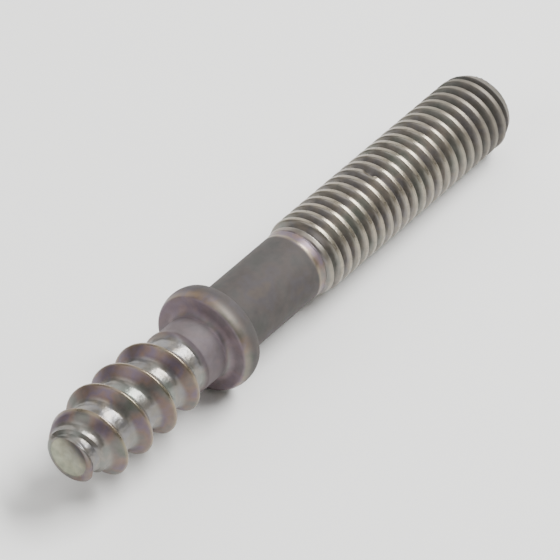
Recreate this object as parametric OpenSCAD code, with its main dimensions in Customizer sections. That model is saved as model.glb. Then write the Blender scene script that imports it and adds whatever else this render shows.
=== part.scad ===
// Collar screw: a wood thread to drive into a panel, a collar to stop it there,
// and a machine thread on the far side for a nut or a tapped part.
// It lies as it comes to rest, on the collar's rim and on the machine thread near its end.

/* [Wood thread] */
// Length from the blunt tip to the collar
wood_length = 15; // [13:0.5:24]
// Diameter over the crests of the wood thread
wood_crest_d = 6.3; // [5.6:0.1:7]
// Diameter of the core between the turns of wood thread
wood_core_d = 4.4; // [3.8:0.1:4.8]
// Advance of the wood thread in one turn
wood_pitch = 2.7; // [2.3:0.1:3.4]
// Width of the flat on the wood thread's crest
wood_crest_w = 0.16; // [0.1:0.02:0.3]
// Width of one flank of the wood thread along the screw
wood_flank_w = 0.62; // [0.45:0.01:0.8]
// Width of the concave foot where a flank runs into the core
wood_foot_w = 0.2; // [0.1:0.02:0.3]
// Height of that foot above the core
wood_foot_h = 0.22; // [0.1:0.02:0.3]
// Length over which the wood thread grows in from the tip
wood_lead_in = 2.8; // [2:0.1:5]
// Length over which the wood thread fades out towards the neck
wood_fade_out = 3.6; // [2:0.1:5]
// Distance from the collar at which the wood thread has faded away
wood_fade_gap = 1; // [0.6:0.1:2.5]
// Angle about the screw at which a wood thread crest meets the tip
wood_start_angle = -70; // [-180:5:180]

/* [Tip] */
// Diameter of the core at the tip
tip_core_d = 3.3; // [3:0.1:4]
// Length of the taper from the tip to the full core
tip_taper_length = 3; // [2:0.1:5]
// Radius of the rounded edge of the tip
tip_round = 0.2; // [0.1:0.05:0.6]
// Diameter over the start of the wood thread at the tip
tip_thread_d = 4.5; // [4.2:0.1:5.2]
// Radius that rounds off the start of the wood thread
tip_thread_round = 0.75; // [0.2:0.05:0.8]

/* [Neck and collar] */
// Diameter of the neck where it meets the collar
neck_d = 5; // [4.8:0.05:5.4]
// Length of the neck, from the end of the core to the collar
neck_length = 2.75; // [1.5:0.05:3.5]
// Length over which the core steps up to the neck
neck_step = 0.3; // [0.2:0.05:0.8]
// Radius of the fillet between the neck and the collar
neck_fillet = 0.5; // [0.2:0.05:0.6]
// Diameter of the collar
collar_d = 7.86; // [7.5:0.02:10]
// Thickness of the collar
collar_thickness = 1.8; // [1.2:0.1:2.6]
// How far the middle of the collar's rim stands out past its edges
collar_bulge = 0.22; // [0.1:0.02:0.3]
// Radius of the collar's two edges
collar_edge_round = 0.2; // [0.05:0.01:0.25]

/* [Shank] */
// Diameter of the plain shank, which is the blank that the machine thread was rolled from
shank_d = 5.3; // [5.1:0.05:5.6]
// Length of the plain shank, from the collar to the machine thread
shank_length = 9.2; // [4:0.2:16]
// Radius of the fillet between the collar and the shank
shank_fillet = 0.25; // [0.1:0.05:0.4]

/* [Machine thread] */
// Length of the machine thread, to the end of the screw
stud_length = 22.8; // [12:0.2:40]
// Diameter over the crests of the machine thread
stud_crest_d = 6; // [5.8:0.05:6.2]
// Diameter at the roots of the machine thread
stud_root_d = 4.8; // [4.7:0.05:5]
// Advance of the machine thread in one turn
stud_pitch = 1; // [0.75:0.05:1.25]
// Length over which the machine thread grows out of the shank
stud_run_out = 2.2; // [1.5:0.1:3]
// Length of the chamfer at the end
stud_chamfer_length = 1; // [0.5:0.1:1.5]
// Diameter of the flat end
stud_end_d = 5.1; // [4.4:0.1:5.4]
// Angle about the screw at which the machine thread starts
stud_start_angle = -70; // [-180:5:180]

/* [Hidden] */
wood_core_r = wood_core_d / 2;
wood_height = (wood_crest_d - wood_core_d) / 2;
tip_r = tip_core_d / 2;
tip_thread_r = tip_thread_d / 2;
neck_r = neck_d / 2;
collar_r = collar_d / 2;
shank_r = shank_d / 2;
stud_crest_r = stud_crest_d / 2;
stud_root_r = stud_root_d / 2;
stud_end_r = stud_end_d / 2;

// Stations along the screw, from the tip
collar_z = wood_length;
shank_z = collar_z + collar_thickness;
stud_z = shank_z + shank_length;
end_z = stud_z + stud_length;
collar_mid_z = (collar_z + shank_z) / 2;
chamfer_z = end_z - stud_chamfer_length;

// The rim is an arc that passes collar_bulge outside the collar's edges
rim_r = (pow(collar_thickness / 2, 2) + pow(collar_bulge, 2)) / (2 * collar_bulge);
rim_centre_r = collar_r - rim_r;
rim_half_angle = asin((collar_thickness / 2 - collar_edge_round) / (rim_r - collar_edge_round));
edge_centre_r = rim_centre_r + (rim_r - collar_edge_round) * cos(rim_half_angle);

// Facets of the threads
wood_steps = 40;
stud_steps = 36;
arc_steps = 10;

// How far a thread's foot is sunk into the body that carries it
sink = 0.12;

// A part of a circle, as points around a centre
function arc(centre, radius, from, to) =
    [for (i = [0 : arc_steps])
        let (a = from + (to - from) * i / arc_steps)
        centre + radius * [cos(a), sin(a)]];

// Outline of the tip, core, neck, collar and shank, as distance from the axis and height
root_end_z = stud_z + stud_run_out / 2;
body_outline = concat(
    [[0, 0]],
    arc([tip_r - tip_round, tip_round], tip_round, -90, 0),
    [[wood_core_r, tip_taper_length]],
    [[wood_core_r, collar_z - neck_length]],
    [[neck_r, collar_z - neck_length + neck_step]],
    arc([neck_r + neck_fillet, collar_z - neck_fillet], neck_fillet, 180, 90),
    arc([edge_centre_r, collar_z + collar_edge_round], collar_edge_round, -90, -rim_half_angle),
    arc([rim_centre_r, collar_mid_z], rim_r, -rim_half_angle, rim_half_angle),
    arc([edge_centre_r, shank_z - collar_edge_round], collar_edge_round, rim_half_angle, 90),
    arc([shank_r + shank_fillet, shank_z + shank_fillet], shank_fillet, -90, -180),
    [[shank_r, stud_z]],
    [[stud_root_r - sink, root_end_z]],
    [[0, root_end_z]]
);

// Outline that trims the wood thread where it starts at the tip
wood_trim_r = wood_crest_d / 2 + sink;
wood_trim_outline = concat(
    [[0, 0]],
    arc([tip_thread_r - tip_thread_round, tip_thread_round], tip_thread_round, -90, 0),
    [[wood_trim_r, wood_lead_in]],
    [[wood_trim_r, collar_z]],
    [[0, collar_z]]
);

// Outline that trims the machine thread: its end face and chamfer
stud_trim_r = stud_crest_r + sink;
stud_trim_outline = [
    [0, shank_z],
    [stud_trim_r, shank_z],
    [stud_trim_r, chamfer_z - stud_chamfer_length * sink / (stud_crest_r - stud_end_r)],
    [stud_end_r, end_z],
    [0, end_z]
];

// Section of the wood thread at full height: offset along the screw and height over the core
wood_half_w = wood_crest_w / 2 + wood_flank_w;
wood_section = [
    [-wood_half_w - wood_foot_w, -sink],
    [-wood_half_w, wood_foot_h],
    [-wood_crest_w / 2, wood_height],
    [wood_crest_w / 2, wood_height],
    [wood_half_w, wood_foot_h],
    [wood_half_w + wood_foot_w, -sink]
];

// Share of the wood thread's height that stands at height z, never quite nothing
least_share = 0.05;
wood_fade_z = collar_z - wood_fade_gap;
function grow_in(z) = sqrt(max(0, (z + wood_half_w) / wood_lead_in));
function fade_out(z) = (wood_fade_z - z) / wood_fade_out;
function wood_share(z) = max(least_share, min(1, grow_in(z), fade_out(z)));

// Radius of the core under the wood thread
function core_radius(z) =
    z < tip_taper_length
        ? tip_r + (wood_core_r - tip_r) * max(0, z) / tip_taper_length
        : wood_core_r;

// The wood thread, swept up the core as rings of section points
wood_first_step = floor(-wood_steps / 4);
wood_last_step = ceil(wood_steps * wood_fade_z / wood_pitch);
wood_points = [
    for (i = [wood_first_step : wood_last_step], p = wood_section)
        let (
            crest_z = wood_pitch * i / wood_steps,
            angle = wood_start_angle + 360 * i / wood_steps,
            share = wood_share(crest_z),
            height = p[1] < 0 ? p[1] : p[1] * share - sink * (1 - share),
            radius = core_radius(crest_z) + height
        )
        [radius * cos(angle), radius * sin(angle), crest_z + p[0]]
];

module wood_thread() {
    count = len(wood_section);
    rings = wood_last_step - wood_first_step;
    sides = [
        for (i = [0 : rings - 1], k = [0 : count - 1])
            let (a = i * count + k, b = i * count + (k + 1) % count)
            each [[a, b, b + count], [a, b + count, a + count]]
    ];
    first_cap = [[for (k = [0 : count - 1]) count - 1 - k]];
    last_cap = [[for (k = [0 : count - 1]) rings * count + k]];
    intersection() {
        polyhedron(wood_points, concat(sides, first_cap, last_cap));
        rotate_extrude($fn = 96)
            polygon(wood_trim_outline);
    }
}

// One pitch of the machine thread, rolled to full round crests over narrow roots:
// share of the pitch, and 0 at the root or 1 at the crest
stud_root_mid = 0.125;
stud_crest_mid = 0.625;
stud_root_half = 0.085;
stud_crest_half = 0.125;
stud_section = [
    [stud_root_mid - stud_root_half, 0],
    [stud_root_mid + stud_root_half, 0],
    [stud_crest_mid - stud_crest_half, 1],
    [stud_crest_mid + stud_crest_half, 1]
];

// Radius of the machine thread at height z, which swells out of the shank
function stud_share(z) = min(1, max(0, (z - stud_z + stud_pitch) / stud_run_out));
function stud_radius(z, crest) =
    let (hidden_r = stud_root_r - sink / 2)
    hidden_r + (crest * (stud_crest_r - stud_root_r) + sink / 2) * stud_share(z);

// The machine thread, as a sheet that winds up the stud and is closed at both ends on the axis
stud_turns = ceil(stud_length / stud_pitch) + 3;
stud_low_z = stud_z - 2 * stud_pitch;
stud_points = concat(
    [
        for (i = [0 : stud_turns * stud_steps], p = stud_section)
            let (
                z = stud_low_z + stud_pitch * (i / stud_steps + p[0]),
                angle = stud_start_angle + 360 * i / stud_steps,
                radius = stud_radius(z, p[1])
            )
            [radius * cos(angle), radius * sin(angle), z]
    ],
    [[0, 0, stud_low_z]],
    [[0, 0, stud_low_z + stud_pitch * (stud_turns + 1)]]
);

module stud_thread() {
    count = len(stud_section);
    rings = (stud_turns - 1) * stud_steps;
    low_pole = len(stud_points) - 2;
    high_pole = low_pole + 1;
    // Number of a point: past the last of its ring comes the first of the ring one turn on
    function at(i, k) = k < count ? i * count + k : (i + stud_steps) * count;
    sides = [
        for (i = [0 : rings - 1], k = [0 : count - 1])
            each [
                [at(i, k), at(i, k + 1), at(i + 1, k + 1)],
                [at(i, k), at(i + 1, k + 1), at(i + 1, k)]
            ]
    ];
    low_cap = concat(
        [for (i = [0 : stud_steps - 1]) [low_pole, at(i, 0), at(i + 1, 0)]],
        [for (k = [0 : count - 1]) [low_pole, at(0, k + 1), at(0, k)]]
    );
    high_cap = concat(
        [for (i = [0 : stud_steps - 1]) [high_pole, at(rings + i + 1, 0), at(rings + i, 0)]],
        [for (k = [0 : count - 1]) [high_pole, at(rings, k), at(rings, k + 1)]]
    );
    intersection() {
        polyhedron(stud_points, concat(sides, low_cap, high_cap));
        rotate_extrude($fn = 96)
            polygon(stud_trim_outline);
    }
}

// At rest the rim and the last whole crest under the axis both touch the floor
first_crest_z = stud_low_z + stud_pitch * (stud_crest_mid - stud_start_angle / 360);
rest_crest_z = first_crest_z + stud_pitch * floor((chamfer_z - first_crest_z) / stud_pitch);
rest_run = rest_crest_z - collar_mid_z;
rest_rise = stud_crest_r - rim_centre_r;
rest_tilt = asin(rim_r / norm([rest_run, rest_rise])) - atan2(rest_rise, rest_run);
axis_z = (collar_mid_z - end_z / 2) * sin(rest_tilt) + rim_centre_r * cos(rest_tilt) + rim_r;

module collar_screw() {
    color("#a09b93")
        translate([0, 0, axis_z])
            rotate([0, 90 + rest_tilt, 0])
                translate([0, 0, -end_z / 2]) {
                    rotate_extrude($fn = 96)
                        polygon(body_outline);
                    wood_thread();
                    stud_thread();
                }
}

collar_screw();
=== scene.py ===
"""Looks of the collar screw: its skin, its zinc finish, and a plain studio around it."""

import logging
import math
from dataclasses import dataclass, field, fields
from enum import Enum

import bpy
from mathutils import Matrix, Vector


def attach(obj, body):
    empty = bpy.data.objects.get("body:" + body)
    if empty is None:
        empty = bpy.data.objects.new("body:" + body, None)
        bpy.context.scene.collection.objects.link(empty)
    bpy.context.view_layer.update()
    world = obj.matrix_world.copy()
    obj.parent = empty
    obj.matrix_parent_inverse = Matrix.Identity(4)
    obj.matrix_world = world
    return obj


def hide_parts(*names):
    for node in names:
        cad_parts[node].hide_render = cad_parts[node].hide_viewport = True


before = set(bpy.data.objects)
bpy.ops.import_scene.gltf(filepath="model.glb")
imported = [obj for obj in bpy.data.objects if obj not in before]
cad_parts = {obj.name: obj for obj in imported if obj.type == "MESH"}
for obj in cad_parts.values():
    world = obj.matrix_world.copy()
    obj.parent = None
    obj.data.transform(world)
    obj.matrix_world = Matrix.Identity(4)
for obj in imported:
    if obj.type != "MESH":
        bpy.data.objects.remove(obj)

LOG = logging.getLogger("collar_screw")
MM = 0.001

# A point of an outline: distance from the axis and height, in millimetres.
Point = tuple[float, float]
# A step of a formula: name of the result, operation, and inputs as names or numbers.
Step = tuple[str | float, ...]


class Slot(Enum):
    """Material slots of the record."""

    ZINC = "zinc_plated_steel"


class Mark(Enum):
    """Named values that the skin carries for its finish, and for the highlights and shade painted on it."""

    # Dull dark grey: the shank's own finish, and painted shade on the rim's rear, the far end and the tip.
    PLAIN = "plain"
    # Pale smooth lines: the crests, and painted highlights on the rim's front and on the ring.
    CREST = "crest"
    CORE = "bare_core"
    FACE = "collar_face"
    STUD = "stud"
    # The lighter side of the tip's cut face: painted highlight.
    TIP = "tip"


def linear(hex_colour: str) -> tuple[float, float, float, float]:
    """Turn an sRGB hex colour into linear light, by the curve of the sRGB standard.

    Args:
        hex_colour: Six hex digits with a leading mark, as in "#a0b1c2".

    Returns:
        Red, green, blue and an alpha of one, in linear light.
    """
    parts = [int(hex_colour[i : i + 2], 16) / 255 for i in (1, 3, 5)]
    light = [c / 12.92 if c <= 0.04045 else ((c + 0.055) / 1.055) ** 2.4 for c in parts]
    return (light[0], light[1], light[2], 1.0)


def add(tree: bpy.types.NodeTree, kind: str, links: dict | None = None, **settings) -> bpy.types.Node:
    """Add a node with its settings and inputs.

    Args:
        tree: The node tree to add to.
        kind: Type of the node, as in "ShaderNodeMath".
        links: Input name or number, to a socket to link or to a value to set.
        **settings: Properties of the node.

    Returns:
        The new node.
    """
    node = tree.nodes.new(kind)
    for name, value in settings.items():
        setattr(node, name, value)
    for key, value in (links or {}).items():
        if isinstance(value, bpy.types.NodeSocket):
            tree.links.new(value, node.inputs[key])
        else:
            node.inputs[key].default_value = value
    return node


@dataclass(frozen=True)
class Nick:
    """A dent in a crest of the machine thread, in millimetres and turns about the screw."""

    along: float
    turn: float
    reach: float
    depth: float

    def steps(self, number: int, crest_r: float) -> list[Step]:
        """Formula of the radius after this dent.

        Args:
            number: Place of the dent in the row of dents.
            crest_r: Radius of the crest, to turn an angle into a distance.

        Returns:
            Steps that read and rewrite "radius".
        """
        key = f"nick_{number}"
        return [
            (f"{key}_away", "SUBTRACT", "turn", self.turn),
            (f"{key}_arc", "MULTIPLY", f"{key}_away", math.tau * crest_r),
            (f"{key}_arc_2", "MULTIPLY", f"{key}_arc", f"{key}_arc"),
            (f"{key}_rise", "SUBTRACT", "z", self.along),
            (f"{key}_gap_2", "MULTIPLY_ADD", f"{key}_rise", f"{key}_rise", f"{key}_arc_2"),
            (f"{key}_gap", "SQRT", f"{key}_gap_2"),
            (f"{key}_dent", "SMOOTHSTEP", f"{key}_gap", self.reach / 2, self.reach, self.depth, 0.0),
            ("radius", "SUBTRACT", "radius", f"{key}_dent"),
        ]


@dataclass(frozen=True)
class ScrewForm:
    """Sizes of the screw in millimetres and turns, as in the part's source, and the skin's fineness."""

    wood_length: float = 15.0
    wood_crest_r: float = 3.15
    wood_core_r: float = 2.2
    wood_pitch: float = 2.7
    wood_start_turn: float = -70 / 360
    wood_lead_in: float = 2.8
    wood_fade_out: float = 3.6
    wood_fade_z: float = 14.0
    wood_half_w: float = 0.7
    wood_crest_half: float = 0.08
    wood_foot_w: float = 0.2
    wood_foot_h: float = 0.22
    # The skin's foot runs out smoothly, so it reaches further than the solid's straight one.
    wood_foot_spread: float = 1.5
    # How far a thread's sheet dips under the body where it fades.
    sink: float = 0.12
    tip_r: float = 1.65
    tip_round: float = 0.2
    tip_taper: float = 3.0
    tip_thread_r: float = 2.25
    tip_thread_round: float = 0.75
    neck_r: float = 2.5
    neck_length: float = 2.75
    neck_step: float = 0.3
    neck_fillet: float = 0.5
    collar_r: float = 3.93
    collar_thickness: float = 1.8
    collar_bulge: float = 0.22
    collar_edge: float = 0.2
    shank_r: float = 2.65
    shank_length: float = 9.2
    shank_fillet: float = 0.25
    stud_length: float = 22.8
    stud_crest_r: float = 3.0
    stud_root_r: float = 2.4
    stud_pitch: float = 1.0
    stud_run_out: float = 2.2
    stud_chamfer: float = 1.0
    stud_end_r: float = 2.55
    stud_start_turn: float = -70 / 360
    # Shares of the machine thread's pitch: the crest's middle, and from it the crest's edge and the root.
    stud_crest_mid: float = 0.625
    stud_crest_half: float = 0.13
    stud_root_from: float = 0.48
    # What keeps the skin inside the solid's box: less on the rim and the end, no ridge on the tip's flat.
    shy: float = 0.008
    tip_clear: float = 0.005
    # The thread stops this far before the flat end, whose points lie on the rail.
    end_clear: float = 0.0001
    # Points nearer than this are one: along the seam and at both ends.
    merge: float = 0.0005
    rows_per_turn: int = 32
    columns: int = 72

    @property
    def collar_mid_z(self) -> float:
        """Middle of the collar's thickness."""
        return self.wood_length + self.collar_thickness / 2

    @property
    def shank_z(self) -> float:
        """Where the shank leaves the collar."""
        return self.wood_length + self.collar_thickness

    @property
    def stud_z(self) -> float:
        """Where the machine thread starts."""
        return self.shank_z + self.shank_length

    @property
    def stud_low_z(self) -> float:
        """Where the machine thread's winding is counted from, under the shank's surface."""
        return self.stud_z - 2 * self.stud_pitch

    @property
    def end_z(self) -> float:
        """Length of the whole screw."""
        return self.stud_z + self.stud_length

    @property
    def skin_end_z(self) -> float:
        """Where the skin ends."""
        return self.end_z - self.shy

    @property
    def rim_r(self) -> float:
        """Radius of the barrelled rim's arc."""
        half = self.collar_thickness / 2
        return (half**2 + self.collar_bulge**2) / (2 * self.collar_bulge)

    @staticmethod
    def arc(centre: Point, radius: float, start: float, stop: float, steps: int) -> list[Point]:
        """Points on part of a circle, without the first.

        Args:
            centre: Centre of the circle.
            radius: Radius of the circle.
            start: First angle in degrees.
            stop: Last angle in degrees.
            steps: Number of points.

        Returns:
            Points as distance from the axis and height.
        """
        turns = [math.radians(start + (stop - start) * i / steps) for i in range(1, steps + 1)]
        return [(centre[0] + radius * math.cos(a), centre[1] + radius * math.sin(a)) for a in turns]

    @staticmethod
    def line(start: Point, stop: Point, steps: int) -> list[Point]:
        """Points between two places, without the first.

        Args:
            start: Place before the first point.
            stop: Last point.
            steps: Number of points.

        Returns:
            Points as distance from the axis and height.
        """
        shares = [i / steps for i in range(1, steps + 1)]
        return [(start[0] + (stop[0] - start[0]) * s, start[1] + (stop[1] - start[1]) * s) for s in shares]

    def core_rail(self) -> list[Point]:
        """Outline of the tip, the core under the wood thread and the neck."""
        n = self.rows_per_turn
        flat = self.tip_r - self.tip_round
        rail = [(0.0, 0.0), *self.line((0.0, 0.0), (flat, 0.0), n)]
        rail += self.arc((flat, self.tip_round), self.tip_round, -90, 0, n // 2)
        start, stop = self.tip_round, self.wood_length - self.neck_length
        for i in range(1, int((stop - start) / self.wood_pitch * n) + 1):
            z = start + self.wood_pitch * i / n
            slope = (self.wood_core_r - self.tip_r) * min(1.0, z / self.tip_taper)
            rail.append((self.tip_r + slope, z))
        fillet = (self.neck_r + self.neck_fillet, self.wood_length - self.neck_fillet)
        rail += self.line(rail[-1], (self.neck_r, stop + self.neck_step), n // 2)
        rail += self.line(rail[-1], (self.neck_r, fillet[1]), n // 2)
        rail += self.arc(fillet, self.neck_fillet, 180, 90, n // 2)
        return rail

    def collar_rail(self, start: Point) -> list[Point]:
        """Outline of the collar and the shank.

        Args:
            start: Where the neck's fillet meets the collar.

        Returns:
            Points as distance from the axis and height.
        """
        n = self.rows_per_turn
        inner = self.rim_r - self.collar_edge
        lean = math.degrees(math.asin((self.collar_thickness / 2 - self.collar_edge) / inner))
        rim = (self.collar_r - self.shy - self.rim_r, self.collar_mid_z)
        edge_r = rim[0] + inner * math.cos(math.radians(lean))
        corner = (self.shank_r + self.shank_fillet, self.shank_z + self.shank_fillet)
        rail = self.line(start, (edge_r, self.wood_length), n // 2)
        rail += self.arc((edge_r, self.wood_length + self.collar_edge), self.collar_edge, -90, -lean, n // 2)
        rail += self.arc(rim, self.rim_r, -lean, lean, n)
        rail += self.arc((edge_r, self.shank_z - self.collar_edge), self.collar_edge, lean, 90, n // 2)
        rail += self.line(rail[-1], (corner[0], self.shank_z), n // 2)
        rail += self.arc(corner, self.shank_fillet, -90, -180, n // 3)
        rail += self.line(rail[-1], (self.shank_r, self.stud_z - self.stud_pitch), n)
        return rail

    def stud_rail(self) -> list[Point]:
        """Outline of the shank's end under the machine thread, and of the flat end."""
        n = self.rows_per_turn
        start = self.stud_z - self.stud_pitch
        rail = []
        for i in range(1, round((self.skin_end_z - start) / self.stud_pitch * n) + 1):
            z = start + self.stud_pitch * i / n
            drop = min(1.0, max(0.0, (z - self.stud_z) / (self.stud_run_out / 2)))
            rail.append((self.shank_r + (self.stud_root_r - self.sink - self.shank_r) * drop, z))
        rail[-1] = (self.stud_end_r, self.skin_end_z)
        return rail + self.line(rail[-1], (0.0, self.skin_end_z), n // 2)

    def rail(self) -> list[Point]:
        """The outline that the skin winds along, one point to each row of a turn.

        Returns:
            Points as distance from the axis and height. Along both threads the points of one turn
            span one pitch, so that the skin's rows follow the crests.
        """
        core = self.core_rail()
        return core + self.collar_rail(core[-1]) + self.stud_rail()

    def wood_steps(self) -> list[Step]:
        """Formula of the wood thread, from "turn", "z" and "core" to "radius"."""
        foot_out = self.wood_half_w + self.wood_foot_spread * self.wood_foot_w
        foot_in = self.wood_half_w - self.wood_foot_w
        height = self.wood_crest_r - self.wood_core_r
        flank_h = height - self.wood_foot_h
        round_centre = self.tip_thread_r - self.tip_thread_round
        trim_r = self.wood_crest_r + self.sink
        trim_rise = trim_r - self.tip_thread_r
        return [
            # Distance from the nearest crest, and where along the screw that crest is.
            ("wood_turn", "SUBTRACT", "turn", "wood_start_turn"),
            ("wood_ratio", "DIVIDE", "z", "wood_pitch"),
            ("wood_phase", "SUBTRACT", "wood_ratio", "wood_turn"),
            ("wood_whole", "ROUND", "wood_phase"),
            ("wood_part", "SUBTRACT", "wood_phase", "wood_whole"),
            ("wood_off", "MULTIPLY", "wood_part", "wood_pitch"),
            ("wood_side", "ABSOLUTE", "wood_off"),
            ("crest_z", "SUBTRACT", "z", "wood_off"),
            # Share of its full height that the thread has there.
            ("grow_run", "ADD", "crest_z", "wood_half_w"),
            ("grow_ratio", "DIVIDE", "grow_run", "wood_lead_in"),
            ("grow_held", "MAXIMUM", "grow_ratio", 0.0),
            ("grow", "SQRT", "grow_held"),
            ("fade_run", "SUBTRACT", "wood_fade_z", "crest_z"),
            ("fade", "DIVIDE", "fade_run", "wood_fade_out"),
            ("wood_least", "MINIMUM", "grow", "fade"),
            ("wood_most", "MINIMUM", "wood_least", 1.0),
            ("wood_share", "MAXIMUM", "wood_most", 0.0),
            # The ridge: a straight flank on a rounded foot.
            ("flank", "LINEAR", "wood_side", "wood_half_w", "wood_crest_half", 0.0, flank_h),
            ("foot", "SMOOTHSTEP", "wood_side", foot_out, foot_in, 0.0, self.wood_foot_h),
            ("raised", "ADD", "flank", "foot"),
            ("raised_in", "ADD", "raised", "sink"),
            ("scaled", "MULTIPLY", "raised_in", "wood_share"),
            ("ridge", "SUBTRACT", "scaled", "sink"),
            ("crest_core", "LINEAR", "crest_z", 0.0, "tip_taper", "tip_r", "wood_core_r"),
            ("ridge_r", "ADD", "crest_core", "ridge"),
            # The rounded outline that trims the thread's start at the tip.
            ("round_rise", "SUBTRACT", "tip_thread_round", "z"),
            ("round_held", "MAXIMUM", "round_rise", 0.0),
            ("round_drop", "MULTIPLY", "round_held", "round_held"),
            ("round_left", "SUBTRACT", self.tip_thread_round**2, "round_drop"),
            ("round_most", "MAXIMUM", "round_left", 0.0),
            ("round_out", "SQRT", "round_most"),
            ("trim_foot", "ADD", "round_out", round_centre),
            ("trim_grow", "LINEAR", "z", "tip_thread_round", "wood_lead_in", 0.0, trim_rise),
            ("trim", "ADD", "trim_foot", "trim_grow"),
            ("ridge_held", "MINIMUM", "ridge_r", "trim"),
            ("past_tip", "GREATER_THAN", "z", self.tip_clear),
            ("before_collar", "LESS_THAN", "z", self.wood_length - self.neck_fillet),
            ("on_wood", "MULTIPLY", "past_tip", "before_collar"),
            ("wood_r", "MULTIPLY", "ridge_held", "on_wood"),
            ("radius", "MAXIMUM", "core", "wood_r"),
        ]

    def stud_steps(self) -> list[Step]:
        """Formula of the machine thread, which rewrites "radius"."""
        depth = self.stud_crest_r - self.stud_root_r
        slope = (self.stud_crest_r - self.stud_end_r) / self.stud_chamfer
        return [
            # Distance from the nearest crest, as a share of the pitch.
            ("stud_run", "SUBTRACT", "z", self.stud_low_z),
            ("stud_ratio", "DIVIDE", "stud_run", "stud_pitch"),
            ("stud_turn", "SUBTRACT", "turn", "stud_start_turn"),
            ("stud_phase", "SUBTRACT", "stud_ratio", "stud_turn"),
            ("stud_shift", "SUBTRACT", "stud_phase", "stud_crest_mid"),
            ("stud_whole", "ROUND", "stud_shift"),
            ("stud_part", "SUBTRACT", "stud_shift", "stud_whole"),
            ("stud_side", "ABSOLUTE", "stud_part"),
            # The thread's height, growing out of the shank.
            ("stud_height", "SMOOTHSTEP", "stud_side", "stud_root_from", "stud_crest_half", 0.0, depth),
            ("stud_raised", "ADD", "stud_height", self.sink / 2),
            ("swell_run", "SUBTRACT", "z", self.stud_z - self.stud_pitch),
            ("swell_ratio", "DIVIDE", "swell_run", "stud_run_out"),
            ("swell_held", "MAXIMUM", "swell_ratio", 0.0),
            ("stud_share", "MINIMUM", "swell_held", 1.0),
            ("stud_out", "MULTIPLY", "stud_raised", "stud_share"),
            ("stud_full", "ADD", "stud_out", self.stud_root_r - self.sink / 2),
            # The chamfer that trims it at the far end.
            ("left", "SUBTRACT", self.skin_end_z, "z"),
            ("chamfer_r", "MULTIPLY_ADD", "left", slope, "stud_end_r"),
            ("stud_trimmed", "MINIMUM", "stud_full", "chamfer_r"),
            ("past_shank", "GREATER_THAN", "z", self.stud_low_z),
            ("before_end", "LESS_THAN", "z", self.skin_end_z - self.end_clear),
            ("on_stud", "MULTIPLY", "past_shank", "before_end"),
            ("stud_r", "MULTIPLY", "stud_trimmed", "on_stud"),
            ("radius", "MAXIMUM", "radius", "stud_r"),
        ]


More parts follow.
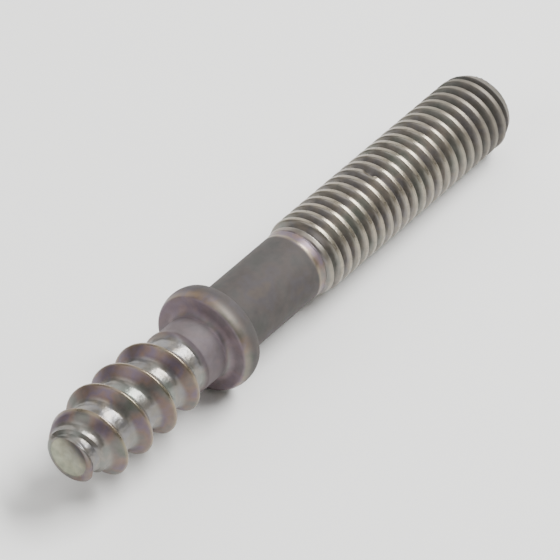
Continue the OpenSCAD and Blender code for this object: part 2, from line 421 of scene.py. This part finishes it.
@dataclass(frozen=True)
class FinishZones:
    """Where the finish changes: pairs are a start and an end in millimetres, shares go up to one."""

    # From a crest's middle outwards, the machine thread's as shares of its pitch.
    wood_edge: tuple[float, float] = (0.2, 0.06)
    stud_edge: tuple[float, float] = (0.3, 0.05)
    # Height of the wood thread's ridge at which the bare core ends.
    bare_height: float = 0.4
    # From the collar's front face.
    face_out: tuple[float, float] = (0.02, 0.1)
    # The rim's front band is smoother and painted paler: its paler tint is a painted highlight.
    rim_in: tuple[float, float] = (0.02, 0.12)
    rim_out: tuple[float, float] = (0.35, 0.8)
    rim_share: float = 0.4
    # The shank's dull dark grey rises from the collar's front face, so it paints shade on the rim's rear
    # half.
    shank_and_rim_shade_in: float = 1.1
    # From the start of the neck's fillet.
    neck_fade: float = 0.1
    neck_share: float = 0.65
    fillet_in: float = 0.15
    fillet_out: tuple[float, float] = (0.25, 0.4)
    fillet_share: float = 0.6
    # The bright ring before the machine thread, smooth to catch the lamps and painted paler as a painted
    # highlight: how far before it, then from there.
    ring_before: float = 0.85
    shank_out: float = 0.3
    ring_in: tuple[float, float] = (0.1, 0.2)
    ring_out: tuple[float, float] = (0.3, 0.45)
    stud_in: float = 0.4
    # The last stretch of the machine thread, which dulls towards the far end: it turns rougher and is
    # painted a darker grey there, a painted shade where the lamps' highlights fall off.
    far_shade_stretch: float = 9.0
    far_shade_share: float = 0.6
    # The tip's cut face: its blurred edge, the way that its painted lighter side faces, in turns, and
    # where that painted highlight starts and is full on that way, as shares of the face's radius; the other
    # side is painted shade.
    tip_edge: float = 0.05
    tip_light_turn: float = 0.1
    tip_light_in: tuple[float, float] = (-1.0, 0.0)

    def thread_steps(self, form: ScrewForm) -> list[Step]:
        """Formula of both threads' bright crests, and of the wood thread's bare core.

        Args:
            form: Sizes of the screw.

        Returns:
            Steps that read what the threads' own steps left.
        """
        neck_z = form.wood_length - form.neck_length
        return [
            ("wood_edge", "SMOOTHSTEP", "wood_side", *self.wood_edge, 0.0, 1.0),
            ("wood_edge_share", "MULTIPLY", "wood_edge", "wood_share"),
            ("wood_crest", "MULTIPLY", "wood_edge_share", "on_wood"),
            ("wood_low", "SMOOTHSTEP", "ridge", self.bare_height, 0.0, 0.0, 1.0),
            ("wood_end", "LINEAR", "z", neck_z, neck_z + form.neck_step, 1.0, 0.0),
            ("wood_bare", "MULTIPLY", "wood_low", "wood_end"),
            ("core_bare", "MULTIPLY", "wood_bare", "past_tip"),
            ("stud_edge", "SMOOTHSTEP", "stud_side", *self.stud_edge, 0.0, 1.0),
            ("stud_edge_share", "MULTIPLY", "stud_edge", "stud_share"),
            ("stud_crest", "MULTIPLY", "stud_edge_share", "on_stud"),
            ("crests", "MAXIMUM", "wood_crest", "stud_crest"),
        ]

    def tip_steps(self, form: ScrewForm) -> list[Step]:
        """Formula of the tip's cut face, painted lighter on its lower side as a painted highlight and darker
        on the other side as painted shade.

        Args:
            form: Sizes of the screw.

        Returns:
            Steps that end in the tip's mark and in "tip_painted_shade".
        """
        flat_r = form.tip_r - form.tip_round
        tip_light_from, tip_light_to = (flat_r * share for share in self.tip_light_in)
        return [
            ("flat", "LINEAR", "core", flat_r, flat_r + self.tip_edge, 1.0, 0.0),
            ("tip_end", "LESS_THAN", "z", form.tip_round),
            ("tip_flat", "MULTIPLY", "flat", "tip_end"),
            # Lighter towards the face's lower side: painted highlight; the rest of the face is painted
            # shade.
            ("tip_light_away", "SUBTRACT", "turn", self.tip_light_turn),
            ("tip_light_angle", "MULTIPLY", "tip_light_away", math.tau),
            ("tip_light_cosine", "COSINE", "tip_light_angle"),
            ("tip_light_offset", "MULTIPLY", "tip_light_cosine", "core"),
            ("tip_light", "SMOOTHSTEP", "tip_light_offset", tip_light_from, tip_light_to, 0.0, 1.0),
            (Mark.TIP.value, "MULTIPLY", "tip_flat", "tip_light"),
            ("tip_painted_shade", "SUBTRACT", "tip_flat", Mark.TIP.value),
        ]

    def steps(self, form: ScrewForm) -> list[Step]:
        """Formula of every mark that the finish reads.

        Args:
            form: Sizes of the screw.

        Returns:
            Steps that end in one value for each mark, from 0 to 1.
        """
        face_z = form.wood_length
        fillet_z = face_z - form.neck_fillet
        ring_z = form.stud_z - self.ring_before
        far_shade_z = form.skin_end_z - self.far_shade_stretch
        rim_from, rim_to = (face_z + away for away in self.rim_in)
        rim_fade, rim_end = (face_z + away for away in self.rim_out)
        face_fade, face_end = (face_z + away for away in self.face_out)
        fillet_fade, fillet_end = (fillet_z + away for away in self.fillet_out)
        ring_from, ring_to = (ring_z + away for away in self.ring_in)
        ring_fade, ring_end = (ring_z + away for away in self.ring_out)
        middle = [
            # The shank's dull grey starts on the collar: painted shade on the rim's rear half.
            ("shank_and_rim_shade_in", "SMOOTHSTEP", "z", face_z, face_z + self.shank_and_rim_shade_in, 0.0, 1.0),
            ("shank_out", "LINEAR", "z", ring_z, ring_z + self.shank_out, 1.0, 0.0),
            ("shank", "MULTIPLY", "shank_and_rim_shade_in", "shank_out"),
            ("neck_in", "SUBTRACT", 1.0, "wood_end"),
            ("neck_out", "LINEAR", "z", fillet_z - self.neck_fade, fillet_z, self.neck_share, 0.0),
            ("neck", "MULTIPLY", "neck_in", "neck_out"),
            ("fillet_in", "LINEAR", "z", fillet_z, fillet_z + self.fillet_in, 0.0, self.fillet_share),
            ("fillet_out", "LINEAR", "z", fillet_fade, fillet_end, 1.0, 0.0),
            ("fillet", "MULTIPLY", "fillet_in", "fillet_out"),
            # A paler, smoother band on the rim's front: partly a painted highlight.
            ("rim_in", "LINEAR", "z", rim_from, rim_to, 0.0, self.rim_share),
            ("rim_out", "SMOOTHSTEP", "z", rim_fade, rim_end, 1.0, 0.0),
            ("rim", "MULTIPLY", "rim_in", "rim_out"),
            # A paler, smoother ring before the machine thread: partly a painted highlight.
            ("ring_in", "LINEAR", "z", ring_from, ring_to, 0.0, 1.0),
            ("ring_out", "LINEAR", "z", ring_fade, ring_end, 1.0, 0.0),
            ("ring", "MULTIPLY", "ring_in", "ring_out"),
        ]
        marks = [
            # The machine thread's far end takes the dull dark grey: painted shade.
            ("far_end_shade", "SMOOTHSTEP", "z", far_shade_z, form.skin_end_z, 0.0, self.far_shade_share),
            ("dull_middle", "MAXIMUM", "shank", "neck"),
            # The darker side of the tip's cut face takes the dull dark grey too: painted shade.
            ("shaded_ends", "MAXIMUM", "far_end_shade", "tip_painted_shade"),
            (Mark.PLAIN.value, "MAXIMUM", "dull_middle", "shaded_ends"),
            ("face_out", "LINEAR", "z", face_fade, face_end, 1.0, 0.0),
            ("face_all", "MULTIPLY", "neck_in", "face_out"),
            ("face_dull", "SUBTRACT", "face_all", "fillet"),
            (Mark.FACE.value, "MAXIMUM", "face_dull", 0.0),
            (Mark.STUD.value, "LINEAR", "z", form.stud_z, form.stud_z + self.stud_in, 0.0, 1.0),
            (Mark.CORE.value, "MAXIMUM", "core_bare", "fillet"),
            ("bright", "MAXIMUM", "crests", "rim"),
            (Mark.CREST.value, "MAXIMUM", "bright", "ring"),
        ]
        return self.thread_steps(form) + self.tip_steps(form) + middle + marks


@dataclass(frozen=True)
class Rest:
    """How the screw lies: on the collar's rim and on the last whole crest of the machine thread."""

    form: ScrewForm

    def matrix(self) -> Matrix:
        """Place of the screw's own frame in the part's frame, worked out as in the part's source.

        Returns:
            A matrix from millimetres along the screw to metres in the part's frame.
        """
        form = self.form
        first_z = form.stud_low_z + form.stud_pitch * (form.stud_crest_mid - form.stud_start_turn)
        whole = math.floor((form.end_z - form.stud_chamfer - first_z) / form.stud_pitch)
        rim_centre_r = form.collar_r - form.rim_r
        run = first_z + form.stud_pitch * whole - form.collar_mid_z
        rise = form.stud_crest_r - rim_centre_r
        tilt = math.asin(form.rim_r / math.hypot(run, rise)) - math.atan2(rise, run)
        middle_z = form.end_z / 2
        drop = (form.collar_mid_z - middle_z) * math.sin(tilt)
        axis_z = drop + rim_centre_r * math.cos(tilt) + form.rim_r
        lift = Matrix.Translation((0, 0, axis_z))
        turn = Matrix.Rotation(math.pi / 2 + tilt, 4, "Y")
        centre = Matrix.Translation((0, 0, -middle_z))
        return Matrix.Scale(MM, 4) @ lift @ turn @ centre


@dataclass(frozen=True)
class Layer:
    """A tint and a roughness on one marked zone: how much of the tint covers, and how rough it is."""

    mark: Mark
    tint: str
    cover: float
    rough: float


@dataclass(frozen=True)
class ZincFinish:
    """Zinc-plated and passivated steel: a satin grey metal with faint rainbow tints."""

    name: str = "Zinc plate, passivated"
    # Clouds of green-grey, grey, brown, violet and ochre, as passivation leaves on the flanks.
    tints: tuple[tuple[float, str], ...] = (
        (0.30, "#646a61"),
        (0.41, "#6b6764"),
        (0.50, "#76655d"),
        (0.59, "#695e69"),
        (0.70, "#79624f"),
    )
    flank_rough: float = 0.46
    layers: tuple[Layer, ...] = (
        # The machine thread is a paler, evener grey with clear highlights.
        Layer(Mark.STUD, "#8b8c87", cover=0.6, rough=0.38),
        # Crests, rim and ring are rubbed smooth, so they draw thin warm lines of light; on the rim's front
        # band and the ring before the machine thread their paler warm tint is also a painted highlight.
        Layer(Mark.CREST, "#8b8069", cover=0.6, rough=0.28),
        # The core between the wood thread's turns is satin, with broad uneven highlights.
        Layer(Mark.CORE, "#868b85", cover=0.5, rough=0.34),
        # Neck and front face of the collar are matt, with a violet bloom.
        Layer(Mark.FACE, "#93868d", cover=0.65, rough=0.7),
        # The shank is an even dull grey without highlights. The same dark grey is painted shade on the rim's
        # rear half, on the machine thread's far end and on the darker side of the tip's cut face.
        Layer(Mark.PLAIN, "#535150", cover=0.85, rough=0.8),
        # The tip's cut face is painted a light, slightly green metal on its lower side: a painted highlight.
        Layer(Mark.TIP, "#9da18b", cover=0.7, rough=0.44),
    )
    # Below full metal, a little of the tint shows from every side, as through a thin film.
    metal_share: float = 0.8
    tint_mm: float = 2.4
    tint_detail: float = 3.0
    # A fine grain makes gloss and shade uneven, most on the tip, and dents the bare core.
    grain_mm: float = 0.6
    grain_detail: float = 2.0
    grain_rough: float = 0.07
    grain_shade: float = 0.3
    tip_shade: float = 0.6
    dent_mm: float = 0.05

    def clouds(self, tree: bpy.types.NodeTree, scaled: bpy.types.NodeSocket) -> bpy.types.NodeSocket:
        """Add the flanks' clouds of tint.

        Args:
            tree: The material's tree.
            scaled: Place on the screw, counted in clouds.

        Returns:
            The colour.
        """
        spread = {"Vector": scaled, "Scale": 1.0, "Detail": self.tint_detail}
        cloud = add(tree, "ShaderNodeTexNoise", spread).outputs[0]
        tint = add(tree, "ShaderNodeValToRGB", {0: cloud})
        points = tint.color_ramp.elements
        while len(points) < len(self.tints):
            points.new(0.5)
        for point, (at, colour) in zip(points, self.tints):
            point.position = at
            point.color = linear(colour)
        return tint.outputs[0]

    def material(self) -> bpy.types.Material:
        """Build the material.

        Returns:
            The finished material, which reads the skin's marks.
        """
        material = bpy.data.materials.new(self.name)
        material.use_nodes = True
        tree = material.node_tree
        tree.nodes.clear()
        place = add(tree, "ShaderNodeTexCoord").outputs["Object"]
        count = {0: place, "Scale": 1 / (MM * self.tint_mm)}
        scaled = add(tree, "ShaderNodeVectorMath", count, operation="SCALE").outputs[0]
        colour = self.clouds(tree, scaled)
        rough = self.flank_rough
        marked = {}
        for layer in self.layers:
            here = add(tree, "ShaderNodeAttribute", attribute_name=layer.mark.value).outputs["Fac"]
            part = add(tree, "ShaderNodeMath", {0: here, 1: layer.cover}, operation="MULTIPLY").outputs[0]
            mixed = {0: part, 6: colour, 7: linear(layer.tint)}
            colour = add(tree, "ShaderNodeMix", mixed, data_type="RGBA").outputs[2]
            rough = add(tree, "ShaderNodeMix", {0: here, 2: rough, 3: layer.rough}).outputs[0]
            marked[layer.mark] = here
        grain = {"Vector": scaled, "Scale": self.tint_mm / self.grain_mm, "Detail": self.grain_detail}
        fine = add(tree, "ShaderNodeTexNoise", grain).outputs[0]
        spread = {0: fine, 3: -self.grain_rough, 4: self.grain_rough}
        uneven = add(tree, "ShaderNodeMapRange", spread).outputs[0]
        roughness = add(tree, "ShaderNodeMath", {0: rough, 1: uneven}, operation="ADD").outputs[0]
        most = {0: marked[Mark.TIP], 3: self.grain_shade, 4: self.tip_shade}
        swing = add(tree, "ShaderNodeMapRange", most).outputs[0]
        away = add(tree, "ShaderNodeMapRange", {0: fine, 3: -1.0, 4: 1.0}).outputs[0]
        swung = {0: away, 1: swing, 2: 1.0}
        dapple = add(tree, "ShaderNodeMath", swung, operation="MULTIPLY_ADD").outputs[0]
        shaded = {0: colour, "Scale": dapple}
        colour = add(tree, "ShaderNodeVectorMath", shaded, operation="SCALE").outputs[0]
        deep = {0: marked[Mark.CORE], 1: MM * self.dent_mm}
        depth = add(tree, "ShaderNodeMath", deep, operation="MULTIPLY").outputs[0]
        dents = add(tree, "ShaderNodeBump", {"Height": fine, "Distance": depth}).outputs[0]
        metal = {"Base Color": colour, "Metallic": self.metal_share, "Roughness": roughness, "Normal": dents}
        shader = add(tree, "ShaderNodeBsdfPrincipled", metal)
        add(tree, "ShaderNodeOutputMaterial", {"Surface": shader.outputs[0]})
        return material


@dataclass
class CollarScrew:
    """The screw's skin, wound as one sheet from the tip to the far end."""

    form: ScrewForm = field(default_factory=ScrewForm)
    zones: FinishZones = field(default_factory=FinishZones)
    finish: ZincFinish = field(default_factory=ZincFinish)
    nicks: tuple[Nick, ...] = (
        Nick(along=34.6, turn=0.516, reach=0.5, depth=0.22),
        Nick(along=40.69, turn=0.508, reach=0.34, depth=0.14),
    )
    node: str = "collar_screw"
    piece: bpy.types.Object | None = None

    def rail_object(self) -> bpy.types.Object:
        """Make the rail as a line of vertices.

        Returns:
            An object whose vertices hold distance from the axis and height, in millimetres.
        """
        points = [(r, 0.0, z) for r, z in self.form.rail()]
        mesh = bpy.data.meshes.new("collar_screw_skin")
        mesh.from_pydata(points, [(i, i + 1) for i in range(len(points) - 1)], [])
        rail = bpy.data.objects.new("collar_screw_skin", mesh)
        bpy.context.collection.objects.link(rail)
        return rail

    @staticmethod
    def work_out(tree: bpy.types.NodeTree, values: dict, steps: list[Step]) -> None:
        """Add the nodes of a formula.

        Args:
            tree: The tree to add to.
            values: Sockets by name, which the steps read and add to.
            steps: Name of the result, operation, and inputs as names or numbers.
        """
        for name, operation, *inputs in steps:
            links = {i: values[v] if isinstance(v, str) else v for i, v in enumerate(inputs)}
            if operation in ("LINEAR", "SMOOTHSTEP"):
                node = add(tree, "ShaderNodeMapRange", links, interpolation_type=operation)
            else:
                node = add(tree, "ShaderNodeMath", links, operation=operation)
            values[name] = node.outputs[0]

    def winding_steps(self, rows: int) -> list[Step]:
        """Formula of a grid point's place along the rail, where each turn climbs one turn's rows.

        Args:
            rows: Number of rows in the grid.

        Returns:
            Steps from "grid_x" and "grid_y" to the rail points "low" and "high" and the share between.
        """
        return [
            ("turn", "ADD", "grid_x", 0.5),
            ("row", "ADD", "grid_y", (rows - 1) / 2 - self.form.rows_per_turn),
            ("along", "MULTIPLY_ADD", "turn", "rows_per_turn", "row"),
            ("low", "FLOOR", "along"),
            ("high", "ADD", "low", 1.0),
            ("share", "SUBTRACT", "along", "low"),
        ]

    def surface_steps(self) -> list[Step]:
        """Formula of the skin's radius, marks and place, from "turn", "core" and "z"."""
        form = self.form
        dents = [step for i, nick in enumerate(self.nicks) for step in nick.steps(i, form.stud_crest_r)]
        placing = [
            ("angle", "MULTIPLY", "turn", math.tau),
            ("cosine", "COSINE", "angle"),
            ("sine", "SINE", "angle"),
            ("x", "MULTIPLY", "radius", "cosine"),
            ("y", "MULTIPLY", "radius", "sine"),
        ]
        return form.wood_steps() + form.stud_steps() + dents + self.zones.steps(form) + placing

    def tree(self, material: bpy.types.Material) -> bpy.types.NodeTree:
        """Build the tree that winds a sheet along the rail and raises the threads on it.

        Args:
            material: Finish to set on the sheet.

        Returns:
            The geometry node tree, with the sizes that its formulas read as named inputs.
        """
        form = self.form
        rows = len(form.rail()) + form.rows_per_turn
        winding, surface = self.winding_steps(rows), self.surface_steps()
        read = {value for _, _, *inputs in winding + surface for value in inputs}
        sizes = [size.name for size in fields(form) if size.name in read]
        tree = bpy.data.node_groups.new("Wound screw", "GeometryNodeTree")
        tree.interface.new_socket("Rail", in_out="INPUT", socket_type="NodeSocketGeometry")
        for size in sizes:
            tree.interface.new_socket(size, in_out="INPUT", socket_type="NodeSocketFloat")
        tree.interface.new_socket("Skin", in_out="OUTPUT", socket_type="NodeSocketGeometry")
        given = add(tree, "NodeGroupInput").outputs
        values = {size: given[size] for size in sizes}
        sheet = {"Size X": 1.0, "Size Y": float(rows - 1)}
        sheet |= {"Vertices X": form.columns + 1, "Vertices Y": rows}
        skin = add(tree, "GeometryNodeMeshGrid", sheet).outputs[0]
        position = add(tree, "GeometryNodeInputPosition").outputs[0]
        spot = add(tree, "ShaderNodeSeparateXYZ", {0: position}).outputs
        values["grid_x"], values["grid_y"] = spot[0], spot[1]
        self.work_out(tree, values, winding)
        ends = []
        for name in ("low", "high"):
            number = add(tree, "FunctionNodeFloatToInt", {0: values[name]}).outputs[0]
            sample = {"Geometry": given["Rail"], "Value": position, "Index": number}
            settings = {"data_type": "FLOAT_VECTOR", "clamp": True}
            ends.append(add(tree, "GeometryNodeSampleIndex", sample, **settings).outputs[0])
        between = {0: values["share"], 4: ends[0], 5: ends[1]}
        point = add(tree, "ShaderNodeMix", between, data_type="VECTOR").outputs[1]
        base = add(tree, "ShaderNodeSeparateXYZ", {0: point}).outputs
        values["core"], values["z"] = base[0], base[2]
        self.work_out(tree, values, surface)
        for mark in Mark:
            stored = {"Geometry": skin, "Name": mark.value, "Value": values[mark.value]}
            settings = {"data_type": "FLOAT", "domain": "POINT"}
            skin = add(tree, "GeometryNodeStoreNamedAttribute", stored, **settings).outputs[0]
        place = {0: values["x"], 1: values["y"], 2: values["z"]}
        target = add(tree, "ShaderNodeCombineXYZ", place).outputs[0]
        skin = add(tree, "GeometryNodeSetPosition", {"Geometry": skin, "Position": target}).outputs[0]
        welded = {"Geometry": skin, "Distance": form.merge}
        skin = add(tree, "GeometryNodeMergeByDistance", welded).outputs[0]
        skin = add(tree, "GeometryNodeSetShadeSmooth", {"Geometry": skin, "Shade Smooth": True}).outputs[0]
        skin = add(tree, "GeometryNodeRealizeInstances", {"Geometry": skin}).outputs[0]
        skin = add(tree, "GeometryNodeSetMaterial", {"Geometry": skin, "Material": material}).outputs[0]
        add(tree, "NodeGroupOutput", {0: skin})
        return tree

    def build(self) -> bpy.types.Object:
        """Wind the skin and lay it in the part's frame.

        Returns:
            The finished piece, a plain mesh at the origin.
        """
        rail = self.rail_object()
        winder = rail.modifiers.new("Wound screw", "NODES")
        winder.node_group = self.tree(self.finish.material())
        for socket in winder.node_group.interface.items_tree:
            if socket.in_out == "INPUT" and socket.socket_type == "NodeSocketFloat":
                winder[socket.identifier] = float(getattr(self.form, socket.name))
        graph = bpy.context.evaluated_depsgraph_get()
        mesh = bpy.data.meshes.new_from_object(rail.evaluated_get(graph))
        rail.modifiers.remove(winder)
        rail.data = mesh
        mesh.transform(Rest(self.form).matrix())
        self.piece = rail
        return rail

    def dress(self) -> None:
        """Hand the piece to the frame in place of the solid."""
        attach(self.piece, "root")
        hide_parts(self.node)


@dataclass(frozen=True)
class Softbox:
    """A soft white rectangular lamp, in millimetres and watts."""

    name: str
    place: tuple[float, float, float]
    width: float
    height: float
    watts: float

    def build(self, aim: Vector) -> bpy.types.Object:
        """Hang the lamp and turn it to the screw.

        Args:
            aim: Point that it faces, in metres.

        Returns:
            The lamp object.
        """
        lamp = bpy.data.lights.new(self.name, "AREA")
        lamp.shape = "RECTANGLE"
        lamp.size = self.width * MM
        lamp.size_y = self.height * MM
        lamp.energy = self.watts
        thing = bpy.data.objects.new(self.name, lamp)
        thing.location = Vector(self.place) * MM
        thing.rotation_euler = (aim - thing.location).to_track_quat("-Z", "Y").to_euler()
        bpy.context.collection.objects.link(thing)
        return thing


@dataclass
class Studio:
    """A pale floor, soft lamps and a long-lens camera."""

    floor_mm: float = 3000.0
    # Matt off-white paper: it gives soft shadows and a pale reflection from below.
    floor_colour: str = "#f6f6f4"
    floor_rough: float = 0.9
    camera_mm: tuple[float, float, float] = (-287.4613, -208.1241, 303.7009)
    azimuth: float = -54.0799
    elevation: float = 40.2469
    lens: float = 429.6091
    sensor: float = 36.0
    nearest_m: float = 0.01
    farthest_m: float = 20.0
    aim_mm: tuple[float, float, float] = (0, 0, 4)
    lamps: tuple[Softbox, ...] = (
        Softbox("Key softbox", (200, -130, 310), width=300, height=120, watts=3.1),
        Softbox("Fill softbox", (-395, 120, 285), width=340, height=230, watts=0.72),
        Softbox("Back softbox", (300, 420, 200), width=700, height=450, watts=1.8),
        Softbox("Top softbox", (-60, 40, 520), width=350, height=350, watts=0.45),
    )
    # The room's light grows from the horizon up, between two heights of the way looked.
    sky: str = "#f2f1ee"
    horizon_height: float = 0.1
    horizon_strength: float = 0.14
    sky_height: float = 0.6
    sky_strength: float = 0.46

    def floor(self) -> None:
        """Lay the floor."""
        half = self.floor_mm * MM / 2
        corners = [(-half, -half, 0), (half, -half, 0), (half, half, 0), (-half, half, 0)]
        mesh = bpy.data.meshes.new("studio_floor")
        mesh.from_pydata(corners, [], [(0, 1, 2, 3)])
        floor = bpy.data.objects.new("studio_floor", mesh)
        bpy.context.collection.objects.link(floor)
        paper = bpy.data.materials.new("Matt paper floor")
        paper.use_nodes = True
        shader = paper.node_tree.nodes["Principled BSDF"]
        shader.inputs["Base Color"].default_value = linear(self.floor_colour)
        shader.inputs["Roughness"].default_value = self.floor_rough
        mesh.materials.append(paper)

    def light(self) -> None:
        """Hang the lamps and set the soft light of the room."""
        aim = Vector(self.aim_mm) * MM
        for lamp in self.lamps:
            lamp.build(aim)
        world = bpy.context.scene.world or bpy.data.worlds.new("Studio")
        bpy.context.scene.world = world
        world.use_nodes = True
        tree = world.node_tree
        tree.nodes.clear()
        way = add(tree, "ShaderNodeTexCoord").outputs["Generated"]
        rise = add(tree, "ShaderNodeSeparateXYZ", {0: way}).outputs[2]
        heights = {1: self.horizon_height, 2: self.sky_height}
        ramp = {0: rise, **heights, 3: self.horizon_strength, 4: self.sky_strength}
        strength = add(tree, "ShaderNodeMapRange", ramp, interpolation_type="SMOOTHSTEP").outputs[0]
        glow = add(tree, "ShaderNodeBackground", {0: linear(self.sky), 1: strength}).outputs[0]
        add(tree, "ShaderNodeOutputWorld", {0: glow})

    def camera(self) -> None:
        """Place the camera at the photograph's view."""
        data = bpy.data.cameras.new("Photo camera")
        data.type = "PERSP"
        data.lens = self.lens
        data.sensor_width = self.sensor
        data.clip_start = self.nearest_m
        data.clip_end = self.farthest_m
        camera = bpy.data.objects.new("Photo camera", data)
        camera.location = Vector(self.camera_mm) * MM
        camera.rotation_euler = (math.radians(90 - self.elevation), 0, math.radians(self.azimuth))
        bpy.context.collection.objects.link(camera)
        bpy.context.scene.camera = camera


def main() -> None:
    """Build the screw and its studio."""
    logging.basicConfig(level=logging.INFO, format="%(message)s")
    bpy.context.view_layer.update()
    screw = CollarScrew()
    piece = screw.build()
    screw.dress()
    LOG.info("%s: %d vertices, %d faces", piece.name, len(piece.data.vertices), len(piece.data.polygons))
    studio = Studio()
    studio.floor()
    studio.light()
    studio.camera()
    LOG.info("studio: floor, lamps and camera")


if __name__ == "__main__":
    main()
